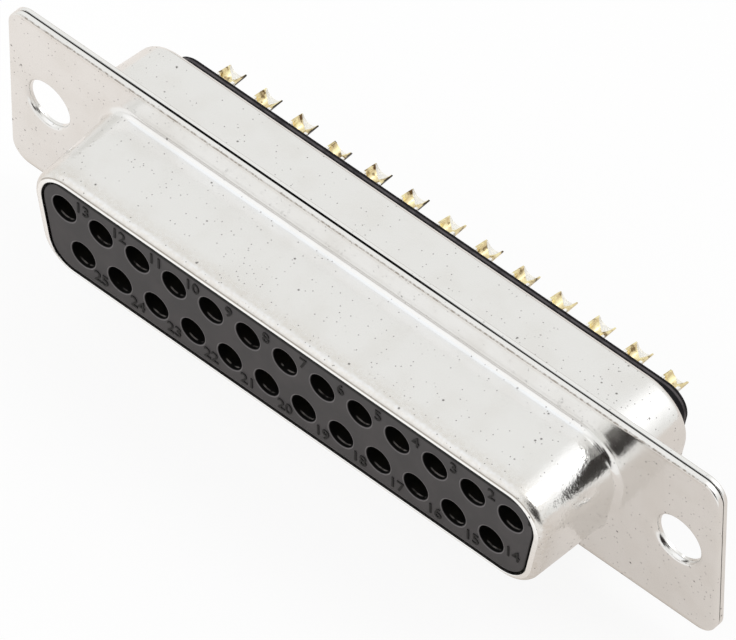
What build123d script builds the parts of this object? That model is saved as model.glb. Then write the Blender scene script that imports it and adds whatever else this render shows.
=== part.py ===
from build123d import *
import math
import os

# Socket connector for panels: two rows of solder cup contacts in a D-shaped shroud.
# Millimetres. X runs along the rows, Y from the mating face backwards, Z up towards
# the longer row. The origin is the centre of the flange's front face.

# Contact pattern
long_row_count = 13
short_row_count = long_row_count - 1
pitch = 2.77
row_gap = 2.84

# Shell sheet and the gap that lets one piece slide into another
sheet = 0.37
fit_gap = 0.05

# Shroud: a drawn D with slightly leaning walls and a rounded nose
side_angle = 10.0
face_end_margin = 1.73
face_side_margin = 1.90
face_corner = 1.9
shroud_end_step = 0.86
shroud_side_step = 0.70
shroud_corner = 2.7
shroud_depth = 5.95
shroud_draft = 2.3
nose_radius = 0.55
shroud_root_radius = 0.50

# Box of the rear shell: a larger drawn D that holds both insulators
box_end_step = 1.50
box_side_step = 1.60
box_corner = 3.25
box_rear = 4.50
box_draft = 5.1
box_nose_radius = 0.50
box_root_radius = 0.35

# Flange and its two mounting holes, staked by flared collars
hole_to_box = 2.81
hole_to_end = 2.88
flange_side_land = 0.53
flange_corner = 1.3
hole_radius = 1.55
hole_entry_radius = 0.35
hole_land = 0.10
collar_blend = 0.30
flare_angle = 60.0
flare_width = 0.80
flare_wall = 0.20
flare_gap = 0.02

# Insulators
face_recess = 0.07
face_gap = 0.15
face_chamfer = 0.05
boss_seat_gap = 0.05
split_y = 2.40
spigot_end_margin = 2.38
spigot_side_margin = 1.91
spigot_corner = 1.5
spigot_length = 1.52
spigot_chamfer = 0.08
bore_radius = 0.90
bore_chamfer = 0.04
collar_bore_gap = 0.06
shank_bore_gap = 0.04

# Contacts
contact_recess = 1.20
socket_radius = 0.80
socket_bore_radius = 0.52
socket_bore_depth = 4.8
socket_slot_width = 0.22
socket_slot_depth = 3.0
contact_collar_radius = 1.08
contact_collar_length = 1.10
contact_collar_play = 0.03
shank_radius = 0.66
cup_length = 2.33
cup_depth = 2.65
cup_bore_radius = 0.47
cup_flare_radius = 0.57
cup_flare_length = 1.20
cup_mouth_gap = 0.25
cup_mouth_ramp = 0.85
cup_lip_rise = 0.08

# Sizes that follow from the ones above
long_row_span = (long_row_count - 1) * pitch
face_width = long_row_span + 2 * face_end_margin
face_height = row_gap + 2 * face_side_margin
shroud_width = face_width + 2 * shroud_end_step
shroud_height = face_height + 2 * shroud_side_step
box_width = shroud_width + 2 * box_end_step
box_height = shroud_height + 2 * box_side_step
hole_x = box_width / 2 + hole_to_box
flange_length = 2 * (hole_x + hole_to_end)
flange_height = box_height + 2 * flange_side_land
flange_rear = 2 * sheet
face_y = face_recess - shroud_depth
boss_front = sheet + boss_seat_gap - shroud_depth
box_floor = box_rear - sheet - fit_gap
spigot_width = long_row_span + 2 * spigot_end_margin
spigot_height = row_gap + 2 * spigot_side_margin
spigot_end = box_rear + spigot_length
contact_tip = face_y + contact_recess
collar_rear = split_y - contact_collar_play
collar_front = collar_rear - contact_collar_length
cup_end = spigot_end + cup_length
cup_floor = cup_end - cup_depth


def station(y):
    """The plane across the connector at y: its own x is X and its own y is Z."""
    return Plane.XZ.offset(-y)


def d_face(width, height, corner, inset=0.0):
    """A D-shaped face with its wide side up, drawn inset all round by the given amount."""
    radius = corner - inset
    half_turn = math.radians((90 - side_angle) / 2)
    reach = radius * (1 / math.tan(half_turn) - 1)
    with BuildSketch() as section:
        Trapezoid(width - 2 * inset + 2 * reach, height - 2 * inset, 90 - side_angle, rotation=180)
        fillet(section.vertices(), radius)
    return section.sketch


def drawn_block(face, neutral_y, start_y, end_y, lean, rounding=0.0):
    """A block from start_y to end_y with leaning walls: its section at neutral_y is the face."""
    with BuildPart() as block:
        with BuildSketch(station(start_y)):
            add(face)
        extrude(amount=start_y - end_y)
        draft(block.faces().filter_by(Axis.Y, reverse=True), station(neutral_y), lean)
        if rounding:
            fillet(block.faces().filter_by_position(Axis.Y, end_y, end_y).edges(), rounding)
    return block.part


def shroud_block(start_y, end_y, inset=0.0, rounding=0.0):
    """The shroud's form as a solid, drawn inset all round: it narrows towards the mating face."""
    face = d_face(shroud_width, shroud_height, shroud_corner, inset)
    return drawn_block(face, 0, start_y, end_y, shroud_draft, rounding)


def box_block(start_y, end_y, inset=0.0, rounding=0.0):
    """The rear box's form as a solid, drawn inset all round: it narrows towards the cups."""
    face = d_face(box_width, box_height, box_corner, inset)
    return drawn_block(face, flange_rear, start_y, end_y, -box_draft, rounding)


def contact_places():
    """The X and Z of every contact, by number: the long row first, from +X to -X."""
    places = []
    for row_count, z in ((long_row_count, row_gap / 2), (short_row_count, -row_gap / 2)):
        for step in range(row_count):
            places.append(((row_count - 1) / 2 * pitch - step * pitch, z))
    return places


def edges_at(part, y, width, height):
    """The part's edges that lie in the plane at y, within a window around the Y axis."""
    margin = 0.01
    flat = part.edges().filter_by_position(Axis.Y, y - margin, y + margin)
    narrow = flat.filter_by_position(Axis.X, -width / 2 - margin, width / 2 + margin)
    return narrow.filter_by_position(Axis.Z, -height / 2 - margin, height / 2 + margin)


# Flare of the staked collars, in radius and in y along the hole's axis
flare_start = hole_entry_radius + hole_land
flare_slope = math.tan(math.radians(flare_angle))
flare_depth = flare_width / flare_slope
flare_out = flare_wall * math.cos(math.radians(flare_angle))
flare_back = flare_wall * math.sin(math.radians(flare_angle))
flare_inner_rim = (hole_radius + flare_width, flare_start + flare_depth)
flare_outer_rim = (flare_inner_rim[0] + flare_out, flare_inner_rim[1] - flare_back)
flare_neck = flare_outer_rim[0] - (flare_outer_rim[1] - sheet) * flare_slope
collar_root = flare_neck + collar_blend

# Front shell: flange, shroud and staking collars, drawn from one sheet
with BuildPart() as front_shell:
    add(shroud_block(0, -shroud_depth, 0, nose_radius))
    with BuildSketch(station(sheet)):
        RectangleRounded(flange_length, flange_height, flange_corner)
    extrude(amount=sheet)
    fillet(edges_at(front_shell, 0, shroud_width, shroud_height), shroud_root_radius)
    add(shroud_block(sheet, sheet - shroud_depth, sheet, nose_radius - sheet), mode=Mode.SUBTRACT)
    fillet(edges_at(front_shell, sheet, shroud_width, shroud_height), shroud_root_radius + sheet)
    with BuildSketch(station(boss_front)):
        add(d_face(face_width, face_height, face_corner))
    extrude(amount=2 * sheet, mode=Mode.SUBTRACT)
    with BuildSketch(station(sheet)):
        with Locations((-hole_x, 0), (hole_x, 0)):
            Circle(collar_root)
    extrude(amount=sheet, mode=Mode.SUBTRACT)
    for side in (-1, 1):
        with BuildSketch(Plane(origin=(side * hole_x, 0, 0))):
            with BuildLine():
                CenterArc(
                    (hole_radius + hole_entry_radius, hole_entry_radius), hole_entry_radius, 180, 90
                )
                Polyline(
                    (hole_radius, hole_entry_radius),
                    (hole_radius, flare_start),
                    flare_inner_rim,
                    flare_outer_rim,
                    (flare_neck, sheet),
                    (collar_root, sheet),
                    (collar_root, 0),
                    (hole_radius + hole_entry_radius, 0),
                )
            make_face()
        revolve(axis=Axis((side * hole_x, 0, 0), (0, 1, 0)))
front_shell.part.label = "front_shell"

# Rear shell: flange with countersunk holes and the box around the insulators
with BuildPart() as rear_shell:
    add(box_block(flange_rear, box_rear, 0, box_nose_radius))
    with BuildSketch(station(flange_rear)):
        RectangleRounded(flange_length, flange_height, flange_corner)
    extrude(amount=sheet)
    fillet(edges_at(rear_shell, flange_rear, box_width, box_height), box_root_radius)
    add(box_block(sheet, box_rear - sheet, sheet, box_nose_radius - sheet), mode=Mode.SUBTRACT)
    fillet(edges_at(rear_shell, sheet, box_width, box_height), box_root_radius + sheet)
    with BuildSketch(station(box_rear)):
        add(d_face(spigot_width, spigot_height, spigot_corner, -fit_gap))
    extrude(amount=2 * sheet, mode=Mode.SUBTRACT)
    for side in (-1, 1):
        with BuildSketch(Plane(origin=(side * hole_x, 0, 0))):
            with BuildLine():
                Polyline(
                    (0, sheet),
                    (flare_neck + flare_gap, sheet),
                    (flare_neck + flare_gap + sheet * flare_slope, flange_rear),
                    (0, flange_rear),
                    close=True,
                )
            make_face()
        revolve(axis=Axis((side * hole_x, 0, 0), (0, 1, 0)), mode=Mode.SUBTRACT)
rear_shell.part.label = "rear_shell"

# Front insulator: face, boss in the shroud and shoulder plate in the box
with BuildPart() as front_insulator:
    add(shroud_block(sheet, boss_front, sheet + fit_gap, nose_radius - sheet))
    with BuildSketch(station(boss_front)):
        add(d_face(face_width, face_height, face_corner, face_gap))
    extrude(amount=boss_front - face_y)
    chamfer(front_insulator.faces().sort_by(Axis.Y)[0].edges(), face_chamfer)
    add(box_block(sheet, split_y, sheet + fit_gap))
    with BuildSketch(station(split_y)):
        with Locations(*contact_places()):
            Circle(bore_radius)
    extrude(amount=split_y - face_y, mode=Mode.SUBTRACT)
    chamfer(edges_at(front_insulator, face_y, long_row_span + pitch, row_gap + pitch), bore_chamfer)
    with BuildSketch(station(split_y)):
        with Locations(*contact_places()):
            Circle(contact_collar_radius + collar_bore_gap)
    extrude(amount=split_y - collar_front + contact_collar_play, mode=Mode.SUBTRACT)
front_insulator.part.label = "front_insulator"

# Rear insulator: plate in the box and spigot through the rear opening
with BuildPart() as rear_insulator:
    add(box_block(split_y, box_floor, sheet + fit_gap, box_nose_radius - sheet))
    with BuildSketch(station(spigot_end)):
        add(d_face(spigot_width, spigot_height, spigot_corner))
    extrude(amount=spigot_end - box_floor)
    chamfer(rear_insulator.faces().sort_by(Axis.Y)[-1].edges(), spigot_chamfer)
    with BuildSketch(station(spigot_end)):
        with Locations(*contact_places()):
            Circle(shank_radius + shank_bore_gap)
    extrude(amount=spigot_end - split_y, mode=Mode.SUBTRACT)
rear_insulator.part.label = "rear_insulator"


def make_contact(x, z, up):
    """One contact: slotted socket, trapped collar, shank and a solder cup that opens up or down."""
    with BuildPart() as contact:
        with BuildSketch(Plane(origin=(x, 0, z))):
            with BuildLine():
                Polyline(
                    (socket_bore_radius, contact_tip),
                    (socket_radius, contact_tip),
                    (socket_radius, collar_front),
                    (contact_collar_radius, collar_front),
                    (contact_collar_radius, collar_rear),
                    (shank_radius, collar_rear),
                    (shank_radius, cup_end),
                    (cup_flare_radius, cup_end),
                    (cup_bore_radius, cup_end - cup_flare_length),
                    (cup_bore_radius, cup_floor),
                    (0, cup_floor),
                    (0, contact_tip + socket_bore_depth),
                    (socket_bore_radius, contact_tip + socket_bore_depth),
                    close=True,
                )
            make_face()
        revolve(axis=Axis((x, 0, z), (0, 1, 0)))
        with BuildSketch(Plane(origin=(x, contact_tip, z), x_dir=(1, 0, 0), z_dir=(0, -1, 0))):
            Rectangle(2 * contact_collar_radius, socket_slot_width)
        extrude(amount=-socket_slot_depth, mode=Mode.SUBTRACT)
        mouth = spigot_end + cup_mouth_gap
        with BuildSketch(Plane(origin=(x, 0, z), x_dir=(0, 1, 0), z_dir=(up, 0, 0))):
            with BuildLine():
                Polyline(
                    (mouth, shank_radius),
                    (mouth + cup_mouth_ramp, cup_lip_rise),
                    (cup_end, 0),
                    (cup_end, shank_radius),
                    close=True,
                )
            make_face()
        extrude(amount=shank_radius, both=True, mode=Mode.SUBTRACT)
    return contact


parts = [front_shell.part, rear_shell.part, front_insulator.part, rear_insulator.part]

# Contacts, numbered as on the mating face
for number, (contact_x, contact_z) in enumerate(contact_places(), start=1):
    contact = make_contact(contact_x, contact_z, math.copysign(1, contact_z))
    contact.part.label = f"contact_{number:02d}"
    parts.append(contact.part)

os.makedirs("parts", exist_ok=True)
for part in parts:
    export_step(part, f"parts/{part.label}.step")
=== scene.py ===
"""Scene of a D-shaped panel socket with two rows of contacts and solder cups.

The drawn shells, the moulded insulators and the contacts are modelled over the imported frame,
dressed with procedural finishes, and shown on a pale floor from the photograph's side.
Sizes are in millimetres: X along the rows, Y from the mating face backwards, Z up.
"""

import logging
import math
from collections.abc import Sequence
from dataclasses import dataclass, field
from enum import Enum
from itertools import pairwise

import bmesh
import bpy
from bmesh.types import BMEdge, BMVert
from mathutils import Matrix, Vector


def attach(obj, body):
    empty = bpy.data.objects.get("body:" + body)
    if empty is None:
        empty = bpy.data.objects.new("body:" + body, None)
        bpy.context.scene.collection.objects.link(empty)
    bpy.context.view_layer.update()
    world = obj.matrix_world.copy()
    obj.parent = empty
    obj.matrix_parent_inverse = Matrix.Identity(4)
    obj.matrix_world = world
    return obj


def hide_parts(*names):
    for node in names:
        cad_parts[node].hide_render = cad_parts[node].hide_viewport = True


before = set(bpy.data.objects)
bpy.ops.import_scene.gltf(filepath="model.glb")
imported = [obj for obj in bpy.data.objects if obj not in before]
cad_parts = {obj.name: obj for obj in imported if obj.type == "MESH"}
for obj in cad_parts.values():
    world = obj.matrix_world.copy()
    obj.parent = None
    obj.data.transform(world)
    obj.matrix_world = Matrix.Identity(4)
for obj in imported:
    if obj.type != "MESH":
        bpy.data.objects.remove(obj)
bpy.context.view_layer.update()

# Metres in a millimetre
METRES = 0.001
# Vertices nearer than this are one, in millimetres
WELD = 1e-4
# Edges of a moulding sharper than this stay sharp, in degrees
MOULDED_CREASE = 30.0
# A fade that lies beyond the object, for a mark that a shell doesn't have
NOWHERE = (90.0, 91.0)

Point = tuple[float, float]
Colour = tuple[float, float, float]

log = logging.getLogger("connector")


class Facing(Enum):
    """The way a drawn form stands out from its flange, as a sign along Y."""

    MATING = -1
    CUPS = 1


class Row(Enum):
    """The two rows of contacts, as a sign along Z."""

    LONG = 1
    SHORT = -1


@dataclass(frozen=True)
class Corner:
    """One rounded corner of an outline.

    Args:
        x: Its centre along X.
        z: Its centre along Z.
        start: The angle where its arc starts, in degrees from +X towards +Z.
        sweep: The angle that it turns, clockwise as seen from the mating side.
    """

    x: float
    z: float
    start: float
    sweep: float


@dataclass(frozen=True)
class Outline:
    """A closed outline across the connector: straight runs between rounded corners.

    Args:
        corners: Its corners in turn, clockwise as seen from the mating side.
        radius: Their radius.
        size: Its size along X and Z.
    """

    corners: tuple[Corner, ...]
    radius: float
    size: Point

    @classmethod
    def d_shape(cls, width: float, height: float, radius: float, lean: float = 10.0) -> "Outline":
        """A D with its wide side up.

        Args:
            width: Its size along X at the widest point.
            height: Its size along Z.
            radius: Its corner radius.
            lean: The angle of its ends from upright, in degrees.

        Returns:
            The outline, with its four corners clockwise from the upper right.
        """
        top = width / 2 - radius
        side = height / 2 - radius
        bottom = top - 2 * side * math.tan(math.radians(lean))
        return cls(
            (
                Corner(top, side, 90, 90 + lean),
                Corner(bottom, -side, -lean, 90 - lean),
                Corner(-bottom, -side, -90, 90 - lean),
                Corner(-top, side, 180 + lean, 90 + lean),
            ),
            radius,
            (width, height),
        )

    @classmethod
    def plate(cls, width: float, height: float, radius: float) -> "Outline":
        """A rectangle of the given size with rounded corners."""
        return cls.d_shape(width, height, radius, 0.0)


Station = tuple[Outline, float, float]


class Form:
    """A closed mesh in the making, in millimetres, with the moves that the pieces share."""

    arc_steps = 14
    run_margin = 0.35
    margin_share = 0.3
    stack_step = 5.0
    # The fill looks at its rims aslant, because it stumbles over rims that line up
    fill_slant = (0.3, 1, 0.2)

    def __init__(self) -> None:
        """Starts an empty mesh."""
        self.bm = bmesh.new()

    def ring(self, outline: Outline, inset: float, y: float) -> list[BMEdge]:
        """Draws an outline across the connector.

        Args:
            outline: The outline.
            inset: How far it is drawn in, all round.
            y: Its place along Y.

        Returns:
            The edges of the closed ring.
        """
        before = set(self.bm.edges)
        ends = []
        radius = outline.radius - inset
        for corner in outline.corners:
            centre = Vector((corner.x, y, corner.z))
            angle = math.radians(corner.start)
            first = self.bm.verts.new(centre + radius * Vector((math.cos(angle), 0, math.sin(angle))))
            made = bmesh.ops.spin(
                self.bm,
                geom=[first],
                cent=centre,
                axis=(0, 1, 0),
                angle=math.radians(corner.sweep),
                steps=self.arc_steps,
            )
            last = next(item for item in made["geom_last"] if isinstance(item, BMVert))
            ends.append((first, last))
        for (_, last), (first, _) in pairwise(ends + ends[:1]):
            run = self.bm.edges.new((last, first))
            for end in (last, first):
                run = self.split_run(run, end)
        return [edge for edge in self.bm.edges if edge not in before]

    def split_run(self, run: BMEdge, end: BMVert) -> BMEdge:
        """Puts a vertex near one end of a straight run, which keeps its shading flat.

        Args:
            run: The run's longest edge.
            end: The end of the run to split next to.

        Returns:
            The longer of the two edges that result.
        """
        share = min(self.run_margin / run.calc_length(), self.margin_share)
        short, _ = bmesh.utils.edge_split(run, end, share)
        return max((run, short), key=lambda edge: edge.calc_length())

    def sleeve(self, stations: Sequence[Station]) -> None:
        """Bridges rings one after the other.

        They are stacked well apart meanwhile, because rings in one plane bridge crookedly.

        Args:
            stations: The outline, inset and y of each ring in turn.
        """
        rings = []
        for step, (outline, inset, y) in enumerate(stations):
            stacked_y = step * self.stack_step
            edges = self.ring(outline, inset, stacked_y)
            rings.append((edges, {v for edge in edges for v in edge.verts}, y - stacked_y))
        for (near, _, _), (far, _, _) in pairwise(rings):
            bmesh.ops.bridge_loops(self.bm, edges=near + far)
        for _, verts, shift in rings:
            bmesh.ops.translate(self.bm, vec=(0, shift, 0), verts=list(verts))

    def lathe(
        self,
        profile: Sequence[Point],
        x: float = 0.0,
        z: float = 0.0,
        steps: int = 40,
        start: float = 0.0,
        sweep: float = 360.0,
    ) -> None:
        """Turns a profile round an axis along Y.

        Args:
            profile: The radius and y of its points in turn.
            x: The axis's place along X.
            z: The axis's place along Z.
            steps: Steps in the sweep.
            start: The angle where the sweep starts, in degrees.
            sweep: The angle of the sweep, in degrees.
        """
        angle = math.radians(start)
        points = [
            self.bm.verts.new((x + radius * math.cos(angle), y, z - radius * math.sin(angle)))
            for radius, y in profile
        ]
        lines = [self.bm.edges.new(pair) for pair in pairwise(points)]
        bmesh.ops.spin(
            self.bm,
            geom=points + lines,
            cent=(x, 0, z),
            axis=(0, 1, 0),
            angle=math.radians(sweep),
            steps=steps,
            use_merge=sweep == 360,
        )

    def rims(self, y: float | None = None) -> list[BMEdge]:
        """Finds the open edges of the mesh.

        Args:
            y: The plane to look in, or none for all of them.

        Returns:
            The edges.
        """
        rims = [edge for edge in self.bm.edges if edge.is_boundary]
        if y is None:
            return rims
        return [edge for edge in rims if all(abs(v.co.y - y) < WELD for v in edge.verts)]

    def fill(self, y: float) -> None:
        """Closes the plane at y between all the rims that lie in it."""
        rims = self.rims(y)
        bmesh.ops.triangle_fill(self.bm, edges=rims, use_beauty=True, normal=self.fill_slant)

    def weld(self) -> None:
        """Merges vertices that lie on each other."""
        bmesh.ops.remove_doubles(self.bm, verts=self.bm.verts, dist=WELD)

    def piece(
        self, name: str, node: str, material: bpy.types.Material, crease: float = 38.0
    ) -> bpy.types.Object:
        """Turns the form into a finished piece in metres, in place of its CAD node.

        Args:
            name: The piece's name.
            node: The CAD node that it stands for, or an empty text where it is an addition.
            material: Its material.
            crease: Edges sharper than this angle stay sharp, in degrees.

        Returns:
            The finished object.
        """
        self.weld()
        bmesh.ops.recalc_face_normals(self.bm, faces=self.bm.faces)
        for edge in self.bm.edges:
            edge.smooth = edge.is_manifold and edge.calc_face_angle() < math.radians(crease)
        for face in self.bm.faces:
            face.smooth = True
        bmesh.ops.scale(self.bm, vec=(METRES,) * 3, verts=self.bm.verts)
        mesh = bpy.data.meshes.new(name)
        self.bm.to_mesh(mesh)
        self.bm.free()
        mesh.materials.append(material)
        made = bpy.data.objects.new(name, mesh)
        bpy.context.scene.collection.objects.link(made)
        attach(made, "root")
        if node:
            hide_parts(node)
        log.info("%s: %d faces", name, len(mesh.polygons))
        return made


def arc(centre: Point, radius: float, start: float, end: float, steps: int) -> list[Point]:
    """Points on an arc, its two ends included.

    Args:
        centre: Its centre.
        radius: Its radius.
        start: The angle of its first point, in degrees.
        end: The angle of its last point, in degrees.
        steps: Steps between its ends.

    Returns:
        The points in turn.
    """
    angles = [math.radians(start + (end - start) * step / steps) for step in range(steps + 1)]
    return [(centre[0] + radius * math.cos(a), centre[1] + radius * math.sin(a)) for a in angles]


@dataclass
class DrawnForm:
    """A D drawn out of a flange: a rounded root, leaning walls and a rounded nose.

    Depths run outwards from the flange's face on the drawn side.

    Args:
        outline: Its outline at the root.
        flange_y: The y of the flange's face on the drawn side.
        facing: The way it stands out.
        depth: Its depth.
        draft: The lean of its walls, in degrees.
        root: The radius of its root.
        nose: The outer radius of its nose.
        sheet: The sheet's thickness.
        lip_inset: How far in its skins run before the opening's lip.
    """

    outline: Outline
    flange_y: float
    facing: Facing
    depth: float
    draft: float
    root: float
    nose: float
    sheet: float
    lip_inset: float
    edge_rounding: float = 0.03
    steps: int = 8
    margin: float = 0.12

    @property
    def slope(self) -> float:
        """How far its walls lean in for each unit of depth."""
        return math.tan(math.radians(self.draft))

    def station(self, inset: float, depth: float) -> Station:
        """A station of the form's own outline at a depth."""
        return (self.outline, inset, self.flange_y + self.facing.value * depth)

    def skin(self, wall: float) -> list[Station]:
        """The stations of one skin, from the flange to the end of the nose's rounding.

        Args:
            wall: How far the skin lies inside the outer one: nothing or the sheet.

        Returns:
            The stations in turn.
        """
        slope = self.slope
        stretch = 1 / math.cos(math.radians(self.draft))
        root_centre = (self.root * slope - self.root * stretch, self.root)
        nose_depth = self.depth - self.nose
        nose_centre = (nose_depth * slope + self.nose * stretch, nose_depth)
        root = arc(root_centre, self.root + wall, -90, -self.draft, self.steps)
        nose = arc(nose_centre, self.nose - wall, 180 - self.draft, 90, self.steps)
        nose = [point for point in nose if point[0] < self.lip_inset]
        points = [(root[0][0] - self.margin, root[0][1]), *root]
        points += [self.along(root[-1], nose[0]), self.along(nose[0], root[-1])]
        return [self.station(*point) for point in points + nose]

    def along(self, start: Point, end: Point) -> Point:
        """The point a margin's length from start on the way to end."""
        share = self.margin / math.dist(start, end)
        return (start[0] + (end[0] - start[0]) * share, start[1] + (end[1] - start[1]) * share)

    def build(self, form: Form, opening: Station) -> None:
        """Adds both skins to a form, joined round the opening in the nose.

        Args:
            form: The form.
            opening: The opening's outline, inset and y, on the outer side.
        """
        outline, inset, y = opening
        inner_y = y - self.facing.value * self.sheet
        edge = self.facing.value * self.edge_rounding
        lip = [(outline, inset - self.edge_rounding, y), (outline, inset, y - edge)]
        form.sleeve([*self.skin(0.0), *lip, (outline, inset, inner_y), *self.skin(self.sheet)[::-1]])


@dataclass
class Flange:
    """The flange sheets' outline and holes, which both shells share."""

    length: float = 52.8
    height: float = 12.3
    corner: float = 1.3
    sheet: float = 0.37
    rear_sheet: float = 0.30
    edge_rounding: float = 0.09
    edge_steps: int = 4
    burr_rounding: float = 0.05
    burr_steps: int = 3
    margin: float = 0.15
    hole_x: float = 23.52
    hole_radius: float = 1.55
    hole_entry: float = 0.35
    entry_steps: int = 8
    hole_land: float = 0.10
    flare_angle: float = 60.0
    flare_width: float = 0.80
    flare_wall: float = 0.20
    flare_gap: float = 0.02
    flare_inner_round: Point = (0.03, 0.02)
    flare_outer_round: Point = (0.02, 0.04)
    hole_steps: int = 56

    def edge(self, form: Form, smooth_y: float, burr_y: float) -> None:
        """Adds a sheet's outer edge, rounded more on the side that the die drew down.

        Args:
            form: The form.
            smooth_y: The y of the side with the larger rounding.
            burr_y: The y of the other side.
        """
        outline = Outline.plate(self.length, self.height, self.corner)
        thickness = abs(burr_y - smooth_y)
        way = math.copysign(1, burr_y - smooth_y)
        big, small = self.edge_rounding, self.burr_rounding
        points = [(big + self.margin, 0.0)]
        points += arc((big, big), big, -90, -180, self.edge_steps)
        points += arc((small, thickness - small), small, 180, 90, self.burr_steps)
        points += [(small + self.margin, thickness)]
        form.sleeve([(outline, inset, smooth_y + way * depth) for inset, depth in points])

    def at_holes(self, form: Form, profile: Sequence[Point]) -> None:
        """Turns a profile round the axis of each mounting hole."""
        for side in (-1, 1):
            form.lathe(profile, side * self.hole_x, 0.0, self.hole_steps)

    def flare(self) -> tuple[Point, Point, Point]:
        """Works out the flare that holds the rear sheet.

        Returns:
            Its inner rim, outer rim and neck, as radius and y.
        """
        angle = math.radians(self.flare_angle)
        start = self.hole_entry + self.hole_land
        inner = (self.hole_radius + self.flare_width, start + self.flare_width / math.tan(angle))
        outer = (
            inner[0] + self.flare_wall * math.cos(angle),
            inner[1] - self.flare_wall * math.sin(angle),
        )
        neck = (outer[0] - (outer[1] - self.sheet) * math.tan(angle), self.sheet)
        return inner, outer, neck

    def collars(self, form: Form) -> None:
        """Adds the front sheet's collars, from its front face through the rear sheet.

        Args:
            form: The form.
        """
        inner, outer, neck = self.flare()
        entry_centre = (self.hole_radius + self.hole_entry, self.hole_entry)
        entry = arc(entry_centre, self.hole_entry, -90, -180, self.entry_steps)
        lip = [
            (inner[0] - self.flare_inner_round[0], inner[1] - self.flare_inner_round[1]),
            inner,
            (outer[0] - self.flare_outer_round[0], outer[1] + self.flare_outer_round[1]),
            outer,
        ]
        profile = [(entry[0][0] + self.margin, 0.0), *entry]
        profile += [(self.hole_radius, self.hole_entry + self.hole_land), *lip, neck]
        profile += [(neck[0] + self.margin, self.sheet)]
        self.at_holes(form, profile)

    def countersinks(self, form: Form) -> None:
        """Adds the rear sheet's holes, which widen backwards round the collars.

        Args:
            form: The form.
        """
        neck = self.flare()[2][0] + self.flare_gap
        widening = self.sheet * math.tan(math.radians(self.flare_angle))
        rear = 2 * self.sheet
        front = rear - self.rear_sheet
        profile = [
            (neck + widening + self.margin, rear),
            (neck + widening, rear),
            (neck, front),
            (neck + self.margin, front),
        ]
        self.at_holes(form, profile)


@dataclass
class Shells:
    """The two drawn shells: the shroud in front and the box behind, each with its flange."""

    flange: Flange = field(default_factory=Flange)
    shroud: Outline = Outline.d_shape(38.42, 8.04, 2.7)
    shroud_depth: float = 5.95
    shroud_draft: float = 2.3
    shroud_root: float = 0.50
    shroud_nose: float = 0.55
    face: Outline = Outline.d_shape(36.7, 6.64, 1.9)
    box: Outline = Outline.d_shape(41.42, 11.24, 3.25)
    box_rear: float = 4.50
    box_draft: float = 5.1
    box_root: float = 0.35
    box_nose: float = 0.50
    spigot: Outline = Outline.d_shape(38.0, 6.66, 1.5)
    spigot_gap: float = 0.05
    lip_margin: float = 0.04

    def front(self) -> DrawnForm:
        """Works out the shroud.

        Returns:
            Its drawn form.
        """
        return DrawnForm(
            outline=self.shroud,
            flange_y=0.0,
            facing=Facing.MATING,
            depth=self.shroud_depth,
            draft=self.shroud_draft,
            root=self.shroud_root,
            nose=self.shroud_nose,
            sheet=self.flange.sheet,
            lip_inset=(self.shroud.size[1] - self.face.size[1]) / 2 - self.lip_margin,
        )

    def rear(self) -> DrawnForm:
        """Works out the box.

        Returns:
            Its drawn form.
        """
        return DrawnForm(
            outline=self.box,
            flange_y=2 * self.flange.sheet,
            facing=Facing.CUPS,
            depth=self.box_rear - 2 * self.flange.sheet,
            draft=self.box_draft,
            root=self.box_root,
            nose=self.box_nose,
            sheet=self.flange.rear_sheet,
            lip_inset=(self.box.size[1] - self.spigot.size[1]) / 2 - self.lip_margin,
        )

    def build_front(self, material: bpy.types.Material) -> bpy.types.Object:
        """Builds the front shell.

        Args:
            material: Its material.

        Returns:
            The finished object.
        """
        form = Form()
        self.front().build(form, (self.face, 0.0, -self.shroud_depth))
        self.flange.edge(form, 0.0, self.flange.sheet)
        self.flange.collars(form)
        form.fill(0.0)
        form.fill(self.flange.sheet)
        return form.piece("front_shell_plated", "front_shell", material)

    def build_rear(self, material: bpy.types.Material) -> bpy.types.Object:
        """Builds the rear shell.

        Args:
            material: Its material.

        Returns:
            The finished object.
        """
        form = Form()
        self.rear().build(form, (self.spigot, -self.spigot_gap, self.box_rear))
        rear_y = 2 * self.flange.sheet
        front_y = rear_y - self.flange.rear_sheet
        self.flange.edge(form, rear_y, front_y)
        self.flange.countersinks(form)
        form.fill(front_y)
        form.fill(rear_y)
        return form.piece("rear_shell_plated", "rear_shell", material)


@dataclass(frozen=True)
class Pattern:
    """The two rows of contact places."""

    long_count: int = 13
    pitch: float = 2.77
    row_gap: float = 2.84

    def places(self) -> list[tuple[int, float, float, Row]]:
        """Works out where the contacts stand.

        Returns:
            The number, X, Z and row of each, the long row first, from +X to -X.
        """
        found = []
        for row, count in ((Row.LONG, self.long_count), (Row.SHORT, self.long_count - 1)):
            for step in range(count):
                x = ((count - 1) / 2 - step) * self.pitch
                found.append((len(found) + 1, x, row.value * self.row_gap / 2, row))
        return found


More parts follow.
